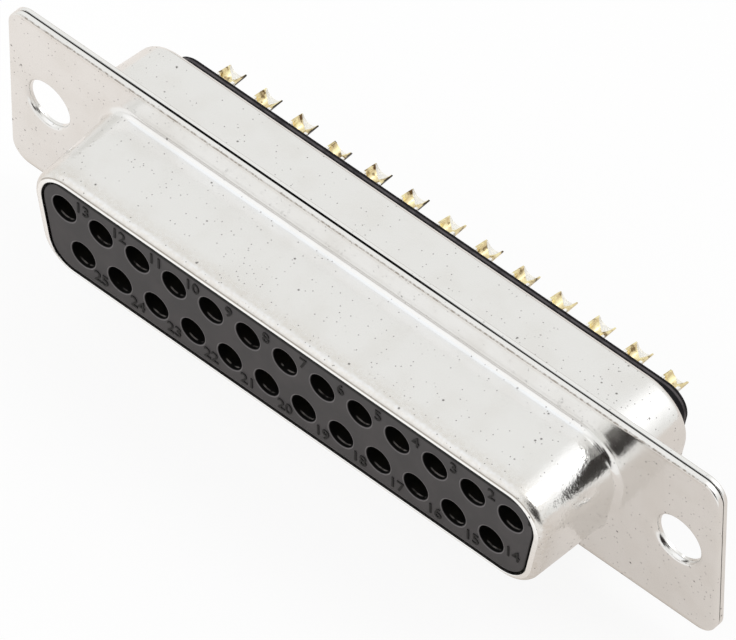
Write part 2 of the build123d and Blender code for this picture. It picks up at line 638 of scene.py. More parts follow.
@dataclass
class Insulators:
    """The two mouldings that hold the contacts between the shells."""

    pattern: Pattern
    shells: Shells
    fit_gap: float = 0.05
    face_y: float = -5.88
    face_gap: float = 0.15
    face_chamfer: float = 0.05
    boss_front: float = -5.53
    split_y: float = 2.40
    spigot_end: float = 6.02
    spigot_chamfer: float = 0.08
    bore: float = 0.90
    bore_chamfer: float = 0.04
    counterbore: float = 1.14
    counterbore_y: float = 1.24
    shank_bore: float = 0.70
    margin: float = 0.07
    rounding_steps: int = 4
    bore_steps: int = 36
    shank_steps: int = 40

    def bores(self, form: Form, profile: Sequence[Point], steps: int) -> None:
        """Turns a profile round the axis of each contact."""
        for _, x, z, _ in self.pattern.places():
            form.lathe(profile, x, z, steps)

    def build_front(self, material: bpy.types.Material) -> bpy.types.Object:
        """Builds the front moulding with its stepped bores.

        Args:
            material: Its material.

        Returns:
            The finished object.
        """
        form = Form()
        face, front, rear = self.shells.face, self.shells.front(), self.shells.rear()
        sheet = self.shells.flange.sheet
        wall = sheet + self.fit_gap
        rounding = front.nose - sheet
        lean = -self.boss_front * front.slope + wall
        edge = self.face_gap + self.face_chamfer
        stations = [
            (face, edge + self.margin, self.face_y),
            (face, edge, self.face_y),
            (face, self.face_gap, self.face_y + self.face_chamfer),
            (face, self.face_gap, self.boss_front),
        ]
        for inset, depth in arc((rounding, rounding), rounding, -90, -180, self.rounding_steps):
            stations.append((front.outline, lean + inset, self.boss_front + depth))
        plate = rear.flange_y
        stations += [
            (front.outline, wall, sheet),
            (rear.outline, wall + (sheet - plate) * rear.slope, sheet),
            (rear.outline, wall + (self.split_y - plate) * rear.slope, self.split_y),
        ]
        form.sleeve(stations)
        profile = [
            (self.bore + self.bore_chamfer + self.margin, self.face_y),
            (self.bore + self.bore_chamfer, self.face_y),
            (self.bore, self.face_y + self.bore_chamfer),
            (self.bore, self.counterbore_y),
            (self.counterbore, self.counterbore_y),
            (self.counterbore, self.split_y),
        ]
        self.bores(form, profile, self.bore_steps)
        form.fill(self.face_y)
        form.fill(self.split_y)
        name, node = "front_insulator_moulded", "front_insulator"
        return form.piece(name, node, material, MOULDED_CREASE)

    def build_rear(self, material: bpy.types.Material) -> bpy.types.Object:
        """Builds the rear moulding with its shank bores.

        Args:
            material: Its material.

        Returns:
            The finished object.
        """
        form = Form()
        rear = self.shells.rear()
        wall = self.shells.flange.sheet + self.fit_gap
        floor = self.shells.box_rear - wall
        rounding = rear.nose - self.shells.flange.sheet
        lean = (floor - rear.flange_y) * rear.slope + wall
        stations = [(rear.outline, wall + (self.split_y - rear.flange_y) * rear.slope, self.split_y)]
        for inset, depth in arc((rounding, rounding), rounding, 180, 90, self.rounding_steps):
            stations.append((rear.outline, lean + inset, floor - 2 * rounding + depth))
        spigot, chamfer = self.shells.spigot, self.spigot_chamfer
        stations += [
            (spigot, 0.0, floor),
            (spigot, 0.0, self.spigot_end - chamfer),
            (spigot, chamfer, self.spigot_end),
            (spigot, chamfer + self.margin, self.spigot_end),
        ]
        form.sleeve(stations)
        profile = [(self.shank_bore, self.split_y), (self.shank_bore, self.spigot_end)]
        self.bores(form, profile, self.shank_steps)
        form.fill(self.split_y)
        form.fill(self.spigot_end)
        name, node = "rear_insulator_moulded", "rear_insulator"
        return form.piece(name, node, material, MOULDED_CREASE)


@dataclass
class Contacts:
    """The one-piece contacts: slotted socket, trapped collar, shank and solder cup.

    The contacts of a row differ a little: the trims shorten their cups and the turns turn
    them about their axes, in degrees, from +X to -X.
    """

    pattern: Pattern
    tip: float = -4.68
    socket_radius: float = 0.80
    socket_bore: float = 0.52
    bore_depth: float = 4.8
    bell: float = 0.10
    slot_width: float = 0.22
    slot_depth: float = 3.0
    collar_radius: float = 1.08
    collar_front: float = 1.27
    collar_rear: float = 2.37
    shank_radius: float = 0.66
    cup_bore: float = 0.47
    cup_flare: float = 0.57
    flare_start: float = 7.15
    cup_floor: float = 5.70
    mouth: float = 6.27
    ramp: float = 0.85
    lip_rise: float = 0.08
    tip_drop: float = 0.15
    cup_end: float = 8.35
    steps: int = 14
    trims: Sequence[float] = (0.28, 0.05, 0.02, 0.09, 0.07, 0.04, 0.06, 0.0, 0.0, 0.31, 0.04, 0.0, 0.0)
    turns: Sequence[float] = (2.0, 3.0, 4.0, 0.0, -1.0, 1.0, -6.0, 1.0, 4.0, 2.0, 5.0, 6.0, -4.0)

    def sectors(self, form: Form, slot: Sequence[Point], tine: Sequence[Point]) -> None:
        """Turns one profile over each slot and another over each tine.

        Args:
            form: The form.
            slot: The profile over the slots.
            tine: The profile over the tines.
        """
        half_slot = math.degrees(math.asin(self.slot_width / 2 / self.socket_radius))
        rest = 180 - 2 * half_slot
        for start in (0, 180):
            form.lathe(slot, steps=1, start=start - half_slot, sweep=2 * half_slot)
            form.lathe(tine, steps=self.steps, start=start + half_slot, sweep=rest)

    def socket(self, form: Form) -> None:
        """Adds everything in front of the cup's open part.

        Args:
            form: The form.
        """
        slot_end = self.tip + self.slot_depth
        floor = self.tip + self.bore_depth
        bore = [(0.0, floor), (self.socket_bore, floor), (self.socket_bore, slot_end)]
        tine = [
            (self.socket_bore, self.tip + self.bell),
            (self.socket_bore + self.bell, self.tip),
            (self.socket_radius - self.bell / 2, self.tip),
            (self.socket_radius, self.tip + self.bell / 2),
        ]
        body = [
            (self.socket_radius, slot_end),
            (self.socket_radius, self.collar_front),
            (self.collar_radius, self.collar_front),
            (self.collar_radius, self.collar_rear),
            (self.shank_radius, self.collar_rear),
            (self.shank_radius, self.mouth + self.ramp),
            (self.cup_bore, self.mouth + self.ramp),
            (self.cup_bore, self.cup_floor),
            (0.0, self.cup_floor),
        ]
        self.sectors(form, bore + body, bore + tine + body)
        form.weld()
        bmesh.ops.holes_fill(form.bm, edges=form.rims(), sides=0)

    def trough(self, form: Form) -> None:
        """Adds the ring that becomes the cup's open part.

        Args:
            form: The form.
        """
        start_y = self.mouth + self.ramp
        profile = [
            (self.cup_bore, start_y),
            (self.shank_radius, start_y),
            (self.shank_radius, self.cup_end),
            (self.cup_flare, self.cup_end),
            (self.cup_bore, self.flare_start),
            (self.cup_bore, start_y),
        ]
        self.sectors(form, profile, profile)

    def cut(self, form: Form, start: Point, end: Point) -> None:
        """Cuts off what lies above a plane along X, and closes the cut.

        Args:
            form: The form.
            start: The y and z of a point on the plane.
            end: The y and z of another, further back.
        """
        run = Vector((0, end[0] - start[0], end[1] - start[1]))
        everything = [*form.bm.verts, *form.bm.edges, *form.bm.faces]
        bmesh.ops.bisect_plane(
            form.bm,
            geom=everything,
            plane_co=(0, *start),
            plane_no=Vector((1, 0, 0)).cross(run),
            clear_outer=True,
            dist=WELD / 10,
        )
        bmesh.ops.holes_fill(form.bm, edges=form.rims(), sides=0)

    def template(self) -> bpy.types.Mesh:
        """Builds one contact on the Y axis, with its cup open upwards.

        Returns:
            Its mesh, in millimetres.
        """
        knee = (self.mouth + self.ramp, self.lip_rise)
        front, back = Form(), Form()
        self.socket(front)
        self.cut(front, (self.mouth, self.shank_radius), knee)
        self.trough(back)
        back.weld()
        self.cut(back, knee, (self.cup_end, -self.tip_drop))
        trough = bpy.data.meshes.new("trough")
        back.bm.to_mesh(trough)
        front.bm.from_mesh(trough)
        back.bm.free()
        bpy.data.meshes.remove(trough)
        joint = [
            face
            for face in front.bm.faces
            if all(abs(vertex.co.y - knee[0]) < WELD for vertex in face.verts)
        ]
        bmesh.ops.delete(front.bm, geom=joint, context="FACES")
        front.weld()
        mesh = bpy.data.meshes.new("contact_template")
        front.bm.to_mesh(mesh)
        front.bm.free()
        return mesh

    def build(self, material: bpy.types.Material) -> None:
        """Builds all the contacts, the long row's cups open upwards and the other's downwards.

        Args:
            material: Their material.
        """
        template = self.template()
        for number, x, z, row in self.pattern.places():
            form = Form()
            form.bm.from_mesh(template)
            which = (number - 1) % len(self.trims)
            ends = [vertex for vertex in form.bm.verts if vertex.co.y > self.cup_end - WELD]
            bmesh.ops.translate(form.bm, vec=(0, -self.trims[which], 0), verts=ends)
            turn = math.radians(self.turns[which]) + (0 if row is Row.LONG else math.pi)
            spread = Matrix.Translation((x, 0, z)) @ Matrix.Rotation(turn, 4, "Y")
            bmesh.ops.transform(form.bm, matrix=spread, verts=form.bm.verts)
            name = f"contact_{number:02d}"
            form.piece(f"{name}_gilded", name, material)
        bpy.data.meshes.remove(template)


@dataclass
class Numbers:
    """The plain contact numbers that stand a little proud of the face."""

    pattern: Pattern
    face_y: float
    height: float = 1.12
    weight: float = 0.012
    rise: float = 0.05
    resolution: int = 3
    long_offset: Point = (1.38, 0.92)
    short_offset: Point = (1.38, -0.95)
    end_offset: Point = (1.55, 0.0)

    def offset(self, number: int, row: Row) -> Point:
        """Works out where a number stands from its socket.

        Args:
            number: The number.
            row: Its contact's row.

        Returns:
            The offset along X and Z.
        """
        if number == self.pattern.long_count + 1:
            return self.end_offset
        return self.long_offset if row is Row.LONG else self.short_offset

    def build(self, material: bpy.types.Material) -> bpy.types.Object:
        """Builds all the numbers as one moulded piece.

        Args:
            material: Its material.

        Returns:
            The finished object.
        """
        form = Form()
        for number, x, z, row in self.pattern.places():
            curve = bpy.data.curves.new("number", "FONT")
            curve.body = str(number)
            curve.size = self.height
            curve.align_x = "CENTER"
            curve.align_y = "CENTER"
            curve.offset = self.weight
            curve.extrude = self.rise
            curve.resolution_u = self.resolution
            text = bpy.data.objects.new("number", curve)
            bpy.context.scene.collection.objects.link(text)
            mesh = bpy.data.meshes.new_from_object(text)
            shift_x, shift_z = self.offset(number, row)
            place = Matrix.Translation((x + shift_x, self.face_y, z + shift_z))
            mesh.transform(place @ Matrix.Rotation(math.pi / 2, 4, "X"))
            form.bm.from_mesh(mesh)
            bpy.data.objects.remove(text)
            bpy.data.curves.remove(curve)
            bpy.data.meshes.remove(mesh)
        return form.piece("contact_numbers_moulded", "", material, MOULDED_CREASE)


class Value:
    """A number that varies over a surface, carried by a node's socket."""

    def __init__(self, shader: "Shader", socket: bpy.types.NodeSocket) -> None:
        """Wraps a socket of a shader's node."""
        self.shader = shader
        self.socket = socket

    def _with(self, operation: str, other: "Value | float", swapped: bool = False) -> "Value":
        """Joins this value and another by a Math node.

        Args:
            operation: The Math node's operation.
            other: The other value.
            swapped: Whether the other comes first.

        Returns:
            The result.
        """
        first, second = (other, self) if swapped else (self, other)
        return self.shader.make("Math", {"operation": operation}, {0: first, 1: second})

    def __add__(self, other: "Value | float") -> "Value":
        """This plus the other."""
        return self._with("ADD", other)

    __radd__ = __add__

    def __sub__(self, other: "Value | float") -> "Value":
        """This less the other."""
        return self._with("SUBTRACT", other)

    def __rsub__(self, other: float) -> "Value":
        """The other less this."""
        return self._with("SUBTRACT", other, swapped=True)

    def __mul__(self, other: "Value | float") -> "Value":
        """This times the other."""
        return self._with("MULTIPLY", other)

    __rmul__ = __mul__

    def __abs__(self) -> "Value":
        """This without its sign."""
        return self._with("ABSOLUTE", 0.0)

    def wrap(self, period: float) -> "Value":
        """This brought into one period round nothing."""
        return self.shader.make("Math", {"operation": "WRAP"}, {0: self, 1: period / 2, 2: -period / 2})

    def within(self, start: float, end: float, soft: float) -> "Value":
        """One between start and end, fading to nothing over a soft width outside them."""
        return self.rise(start - soft, start) * self.rise(end + soft, end)

    def rise(self, low: float, high: float) -> "Value":
        """A smooth step from 0 at low to 1 at high, or down where low is the larger.

        Args:
            low: Where the step is 0.
            high: Where it is 1.

        Returns:
            The step.
        """
        start, end = (low, high) if low < high else (high, low)
        ends = (0.0, 1.0) if low < high else (1.0, 0.0)
        return self.shader.make(
            "MapRange",
            {"interpolation_type": "SMOOTHSTEP"},
            {"Value": self, "From Min": start, "From Max": end, "To Min": ends[0], "To Max": ends[1]},
        )


Layer = tuple[Value, Colour]


class Shader:
    """The node tree of a material or a world, with one way to make its nodes."""

    row_border = (0.01, -0.01)
    row_fade = 0.1
    speck_core = 0.4
    speck_fade = 0.04

    def __init__(self, owner: bpy.types.Material | bpy.types.World) -> None:
        """Starts an empty tree.

        Args:
            owner: The material or the world that gets it.
        """
        self.owner = owner
        self.owner.use_nodes = True
        self.nodes = self.owner.node_tree.nodes
        self.links = self.owner.node_tree.links
        self.nodes.clear()

    @classmethod
    def material(cls, name: str) -> "Shader":
        """Starts a new material of the given name."""
        return cls(bpy.data.materials.new(name))

    def node(
        self, kind: str, settings: dict | None = None, inputs: dict | None = None
    ) -> bpy.types.Node:
        """Makes a node.

        Args:
            kind: The end of its type's name.
            settings: Its settings.
            inputs: Values or links of its sockets, by name or index.

        Returns:
            The node.
        """
        made = self.nodes.new("ShaderNode" + kind)
        for key, setting in (settings or {}).items():
            setattr(made, key, setting)
        for key, given in (inputs or {}).items():
            if isinstance(given, Value):
                given = given.socket
            if isinstance(given, bpy.types.NodeSocket):
                self.links.new(given, made.inputs[key])
            else:
                made.inputs[key].default_value = given
        return made

    def make(
        self, kind: str, settings: dict | None = None, inputs: dict | None = None, output: str | int = 0
    ) -> Value:
        """Makes a node and returns one of its outputs as a value."""
        return Value(self, self.node(kind, settings, inputs).outputs[output])

    def place(self) -> bpy.types.NodeSocket:
        """Reads the surface's place.

        Returns:
            The place in the record's frame, in millimetres.
        """
        coordinates = self.node("TexCoord").outputs["Object"]
        inputs = {0: coordinates, "Scale": 1 / METRES}
        return self.node("VectorMath", {"operation": "SCALE"}, inputs).outputs[0]

    def axis(self, name: str) -> Value:
        """One of the place's coordinates, X, Y or Z, in millimetres."""
        return self.make("SeparateXYZ", None, {0: self.place()}, name)

    def noise(self, size: float, detail: float = 2.0, stretch: tuple = (1.0, 1.0, 1.0)) -> Value:
        """Cloudy noise around one half.

        Args:
            size: The size of its largest clouds, in millimetres.
            detail: Its octaves.
            stretch: How much longer the clouds are along X, Y and Z.

        Returns:
            The noise.
        """
        scale = tuple(1 / (size * times) for times in stretch)
        mapped = self.node("Mapping", None, {"Vector": self.place(), "Scale": scale})
        inputs = {"Vector": mapped.outputs[0], "Scale": 1.0, "Detail": detail}
        return self.make("TexNoise", None, inputs)

    def offsets(self, pattern: Pattern) -> tuple[Value, Value]:
        """How far the nearest contact's axis lies to the left and below, in millimetres.

        Args:
            pattern: The contacts' pattern.

        Returns:
            The offsets along X and Z.
        """
        side = (self.axis("X") + self.row_shift(pattern)).wrap(pattern.pitch)
        above = (self.axis("Z") + pattern.row_gap / 2).wrap(pattern.row_gap)
        return side, above

    def row_shift(self, pattern: Pattern) -> Value:
        """Half a pitch on the short row and nothing on the long one."""
        return self.axis("Z").rise(*self.row_border) * (pattern.pitch / 2)

    def within_rows(self, pattern: Pattern) -> Value:
        """One between the ends of each row and nothing beyond them."""
        end = pattern.long_count / 2 * pattern.pitch
        return (abs(self.axis("X")) + self.row_shift(pattern)).rise(end, end - self.row_fade)

    def specks(self, spacing: float, radius: float, share: Value | float) -> Value:
        """Round specks scattered over the surface.

        Args:
            spacing: The size of the cells that hold one each, in millimetres.
            radius: Their radius, in millimetres.
            share: The share of cells that show theirs.

        Returns:
            One inside a speck and nothing outside.
        """
        cells = self.node("TexVoronoi", None, {"Vector": self.place(), "Scale": 1 / spacing})
        distance = Value(self, cells.outputs["Distance"])
        chance = self.make("SeparateColor", None, {0: cells.outputs["Color"]})
        outer = radius / spacing
        speck = distance.rise(outer, self.speck_core * outer)
        return speck * (share - chance).rise(0.0, self.speck_fade)

    def towards(self, zone: "Zone") -> Value:
        """A soft round zone of the surroundings.

        Args:
            zone: The zone.

        Returns:
            One inside the zone and nothing outside.
        """
        around = self.node("TexCoord").outputs["Generated"]
        inputs = {0: around, 1: Vector(zone.middle).normalized()}
        along = self.make("VectorMath", {"operation": "DOT_PRODUCT"}, inputs, "Value")
        start, end = (math.cos(math.radians(angle)) for angle in (zone.outer, zone.inner))
        return along.rise(start, end)

    def blend(
        self, share: "Value | float", base: "Colour | bpy.types.NodeSocket", other: Colour
    ) -> bpy.types.NodeSocket:
        """Mixes a second colour into a first.

        Args:
            share: How much of the second shows.
            base: The first colour.
            other: The second colour.

        Returns:
            The mixed colour's socket.
        """
        base = base if isinstance(base, bpy.types.NodeSocket) else (*base, 1.0)
        inputs = {"Factor": share, 6: base, 7: (*other, 1.0)}
        return self.node("Mix", {"data_type": "RGBA"}, inputs).outputs[2]

    def coats(
        self, base: "Colour | bpy.types.NodeSocket", layers: Sequence[Layer]
    ) -> bpy.types.NodeSocket:
        """Lays colours over a first one in turn.

        Args:
            base: The first colour.
            layers: How much of each further colour shows, and the colour.

        Returns:
            The last mix's socket.
        """
        for share, colour in layers:
            base = self.blend(share, base, colour)
        return base

    def bump(self, height: Value, depth: float) -> bpy.types.NodeSocket:
        """Turns a height from 0 to 1 into relief, with its depth in millimetres."""
        inputs = {"Height": height, "Distance": depth * METRES, "Strength": 1.0}
        return self.node("Bump", None, inputs).outputs[0]

    def finish(self, inputs: dict) -> bpy.types.Material:
        """Closes the tree with a surface.

        Args:
            inputs: The surface's values and links, by socket name.

        Returns:
            The material.
        """
        surface = self.node("BsdfPrincipled", None, inputs)
        self.node("OutputMaterial", None, {0: surface.outputs[0]})
        return self.owner


@dataclass(frozen=True)
class PlatedSteel:
    """Bright plating on drawn steel, with pits, crinkled corners, and painted highlights and shade
    lines at its edges and nose.

    A pair along X, Y or Z is a fade from nothing at its first place to full at its second,
    and a line lies between its two.

    Args:
        name: The material's name.
        rim: The fade of the drawn rim's wear along Y.
        lip: The fade of the painted highlight on the form's lip along Y.
        nose_line: The painted shade line on the nose's rounding along Y.
        shadow: The seam's dark line along Y.
        corner_y: The fade of the drawn corners' crinkles along Y, and corner_x across.
        nose_z: The fade of the nose's painted shade line upwards.
        crowded_x: The fade of the crowd of pits at both ends.
        edge_z: The fade of the flange's long edges, both ways from the middle.
        border_z: The fade of the stains inside those edges, and border_y behind the face.
        front_line_y: The fade of the mottled painted shade along the front edges.
        rear_line_y: The fade of the painted shade along the rear ones.
        low_line_z: The fade of the painted shade below, and low_line_y behind the face.
        polished_y: The middle of the edges, where a highlight is painted.
        shadow_x: Where the seam is darkest, fading over shadow_fade.
        fine_pits: The spacing and radius of the fine pits, and coarse_pits of the coarse ones.
        line_soft: How softly the lines end.
        cloud_size: The size of the plating's clouds; the other sizes are of its finer relief.
        roughness: Its least roughness.
        relief: The depth of its relief.
    """

    name: str
    rim: Point
    lip: Point
    nose_line: Point
    shadow: Point
    corner_y: Point
    corner_x: Point = (16.0, 17.2)
    nose_z: Point = (2.4, 2.7)
    crowded_x: Point = (13.5, 18.5)
    edge_z: Point = (6.05, 6.11)
    border_z: Point = (5.75, 5.95)
    border_y: Point = (0.10, 0.04)
    front_line_y: Point = (0.09, 0.05)
    rear_line_y: Point = (0.67, 0.70)
    low_line_z: Point = (-5.98, -6.06)
    low_line_y: Point = (0.07, 0.03)
    polished_y: Point = (0.10, 0.64)
    shadow_x: Point = (-13.0, 2.0)
    shadow_fade: float = 11.0
    fine_pits: Point = (0.30, 0.056)
    coarse_pits: Point = (0.80, 0.10)
    line_soft: float = 0.02
    drift_size: float = 5.0
    cloud_size: float = 2.6
    wave_size: float = 0.8
    mottle_size: float = 0.22
    grain_size: float = 0.16
    metal: Colour = (0.88, 0.875, 0.862)
    cloud: Colour = (0.85, 0.84, 0.82)
    # Colour of the painted highlights on the edges and the lip
    polish: Colour = (1.0, 0.995, 0.98)
    pit: Colour = (0.13, 0.12, 0.115)
    stain: Colour = (0.66, 0.60, 0.52)
    # Colour of the painted shade lines on the edges and the nose
    grime: Colour = (0.30, 0.26, 0.22)
    seam: Colour = (0.012, 0.010, 0.009)
    roughness: float = 0.09
    relief: float = 0.012

    def pits(self, shader: Shader, wear: Value) -> Value:
        """Scatters fine and coarse pits, more of them at the ends and in drifts.

        Args:
            shader: The material's shader.
            wear: How many more fine ones there are at the worn rims.

        Returns:
            How deep into a pit a place lies.
        """
        crowd = abs(shader.axis("X")).rise(*self.crowded_x) * 0.25
        drift = shader.noise(self.drift_size).rise(0.35, 0.75)
        fine = shader.specks(*self.fine_pits, crowd + drift * 0.34 + wear + 0.28)
        coarse = shader.specks(*self.coarse_pits, drift * 0.32 + crowd + 0.15)
        return fine * 0.7 + coarse * 0.8

    def lines(self, shader: Shader, edge: Value, clouds: Value, mottle: Value) -> Value:
        """Draws painted shade lines along the roundings of the flange's edges and the nose.

        Args:
            shader: The material's shader.
            edge: One on the flange's long edges.
            clouds: The plating's large clouds.
            mottle: Its small ones.

        Returns:
            How much painted shade shows.
        """
        along, height = shader.axis("Y"), shader.axis("Z")
        front_shade = edge * along.rise(*self.front_line_y) * (mottle.rise(0.40, 0.60) * 0.6 + 0.3)
        rear_shade = edge * along.rise(*self.rear_line_y) * 0.25
        low_shade = height.rise(*self.low_line_z) * along.rise(*self.low_line_y) * 0.5
        nose_line = along.within(*self.nose_line, self.line_soft) * (0.50 + clouds * 0.3)
        return front_shade + rear_shade + low_shade + nose_line * height.rise(*self.nose_z)

    def material(self) -> bpy.types.Material:
        """Makes the material.

        Returns:
            The material.
        """
        shader = Shader.material(self.name)
        along, height = shader.axis("Y"), abs(shader.axis("Z"))
        clouds, mottle = (shader.noise(size, 4.0) for size in (self.cloud_size, self.mottle_size))
        waves, grain = (shader.noise(size, 3.0) for size in (self.wave_size, self.grain_size))
        rim, edge = along.rise(*self.rim), height.rise(*self.edge_z)
        border = height.rise(*self.border_z) * along.rise(*self.border_y)
        pits = self.pits(shader, rim * 0.30 + border * 0.45)
        crinkled = abs(shader.axis("X")).rise(*self.corner_x) * along.rise(*self.corner_y)
        worn = rim * 0.16 + rim * mottle.rise(0.35, 0.65) * 0.22 + border * 0.2
        dark = shader.axis("X").within(*self.shadow_x, self.shadow_fade) * 0.60 + 0.40
        layers = (
            (clouds.rise(0.40, 0.70), self.cloud),
            (worn, self.stain),
            (pits, self.pit),
            # Painted highlights on the middle of the long edges and on the lip
            (edge * along.within(*self.polished_y, 0.03) * 0.4, self.polish),
            (along.rise(*self.lip), self.polish),
            # Painted shade lines along the roundings of the edges and the nose
            (self.lines(shader, edge, clouds, mottle), self.grime),
            (edge * along.within(*self.shadow, self.line_soft) * dark, self.seam),
        )
        roughness = grain * 0.10 + clouds * 0.08 + self.roughness + rim * 0.12 + pits * 0.2
        relief = 1 - pits * 0.4 + grain * 0.10 + waves * 1.2 + crinkled * mottle * 1.1
        return shader.finish(
            {
                "Base Color": shader.coats(self.metal, layers),
                "Metallic": 1.0,
                "Roughness": roughness - crinkled * 0.04,
                "Normal": shader.bump(relief, self.relief),
            }
        )


@dataclass(frozen=True)
class Moulding:
    """Dark plastic with a fine moulded grain and faint clouds.

    Args:
        name: The material's name.
        plastic: Its colour.
        sheen: The colour of its clouds.
        roughness: Its least roughness.
        gloss: The strength of its reflection.
        cloud_size: The size of its clouds, and grain_size of its grain.
        relief: The depth of its grain.
    """

    name: str
    plastic: Colour
    sheen: Colour
    roughness: float = 0.44
    gloss: float = 0.25
    cloud_size: float = 1.8
    grain_size: float = 0.07
    relief: float = 0.004

    def close(self, shader: Shader, layers: Sequence[Layer]) -> bpy.types.Material:
        """Finishes a moulded material.

        Args:
            shader: The material's shader.
            layers: What lies on the plastic.

        Returns:
            The material.
        """
        clouds = shader.noise(self.cloud_size, 3.0)
        layers = ((clouds.rise(0.35, 0.7), self.sheen), *layers)
        return shader.finish(
            {
                "Base Color": shader.coats(self.plastic, layers),
                "Roughness": clouds * 0.12 + self.roughness,
                "Specular IOR Level": self.gloss,
                "Normal": shader.bump(shader.noise(self.grain_size), self.relief),
            }
        )


@dataclass(frozen=True)
class FaceMoulding(Moulding):
    """The front insulator's plastic: painted highlights on the bores' rims, and painted shade in the
    bores, on the numbers and along the upper edge.

    Args:
        ring: The colour of the painted highlight on the bores' rims.
        hollow: The colour of the painted shade in the bores, on the numbers and along the upper edge.
        glint: The colour of the light on the step in a bore.
        ring_width: How far the rings reach inwards and outwards from the bores.
        wall_depth: The fade of the painted shade on the bores' walls behind the face.
        proud_height: The fade of the painted shade on the numbers in front of it.
        step_y: The lit step along Y.
        step_z: The fade of its light below a contact's axis.
        shadow_z: The fade of the dark upper edge.
        light_size: The size of the patches in the light on the steps.
    """

    # Colour of the painted highlight on the bores' rims
    ring: Colour = (0.19, 0.18, 0.185)
    # Colour of the painted shade in the bores, on the numbers and along the upper edge
    hollow: Colour = (0.003, 0.003, 0.003)
    glint: Colour = (0.30, 0.28, 0.27)
    ring_width: Point = (-0.02, 0.07)
    wall_depth: Point = (0.01, 0.05)
    proud_height: Point = (-0.01, -0.02)
    step_y: Point = (-5.62, -5.58)
    step_z: Point = (-0.70, -0.82)
    shadow_z: Point = (2.96, 2.99)
    light_size: float = 0.5

    def material(self, insulators: Insulators) -> bpy.types.Material:
        """Makes the material.

        Args:
            insulators: The insulators, for their face and bores.

        Returns:
            The material.
        """
        shader = Shader.material(self.name)
        pattern, face_y = insulators.pattern, insulators.face_y
        depth, height = shader.axis("Y"), shader.axis("Z")
        side, above = shader.offsets(pattern)
        inner, outer = ((insulators.bore + width) ** 2 for width in self.ring_width)
        # A painted highlight on the rim round each bore
        ring = (side * side + above * above).within(inner, outer, 0.04)
        walls = depth.rise(*(face_y + end for end in self.wall_depth))
        proud = depth.rise(*(face_y + end for end in self.proud_height))
        step = depth.within(*self.step_y, 0.05) * walls
        lit = above.rise(*self.step_z) * shader.noise(self.light_size).rise(0.35, 0.6)
        layers = (
            (ring * shader.within_rows(pattern) * 0.8, self.ring),
            # Painted shade in the bores, on the numbers and along the upper edge
            (walls + proud + height.rise(*self.shadow_z), self.hollow),
            (step * lit, self.glint),
        )
        return self.close(shader, layers)


@dataclass(frozen=True)
class BackMoulding(Moulding):
    """The rear insulator's plastic, with a painted sheen along its spigot.

    Args:
        streak: The sheen's colour.
        streak_y: The sheen along Y.
        patch_size: The size of the patches in it.
    """

    # Colour of the painted sheen along the spigot
    streak: Colour = (0.105, 0.095, 0.10)
    streak_y: Point = (5.72, 5.78)
    patch_size: float = 0.7

    def material(self) -> bpy.types.Material:
        """Makes the material.

        Returns:
            The material.
        """
        shader = Shader.material(self.name)
        uneven = shader.noise(self.patch_size).rise(0.25, 0.60) * 0.7 + 0.3
        # A painted sheen along the spigot
        streak = shader.axis("Y").within(*self.streak_y, 0.07) * uneven
        return self.close(shader, [(streak, self.streak)])


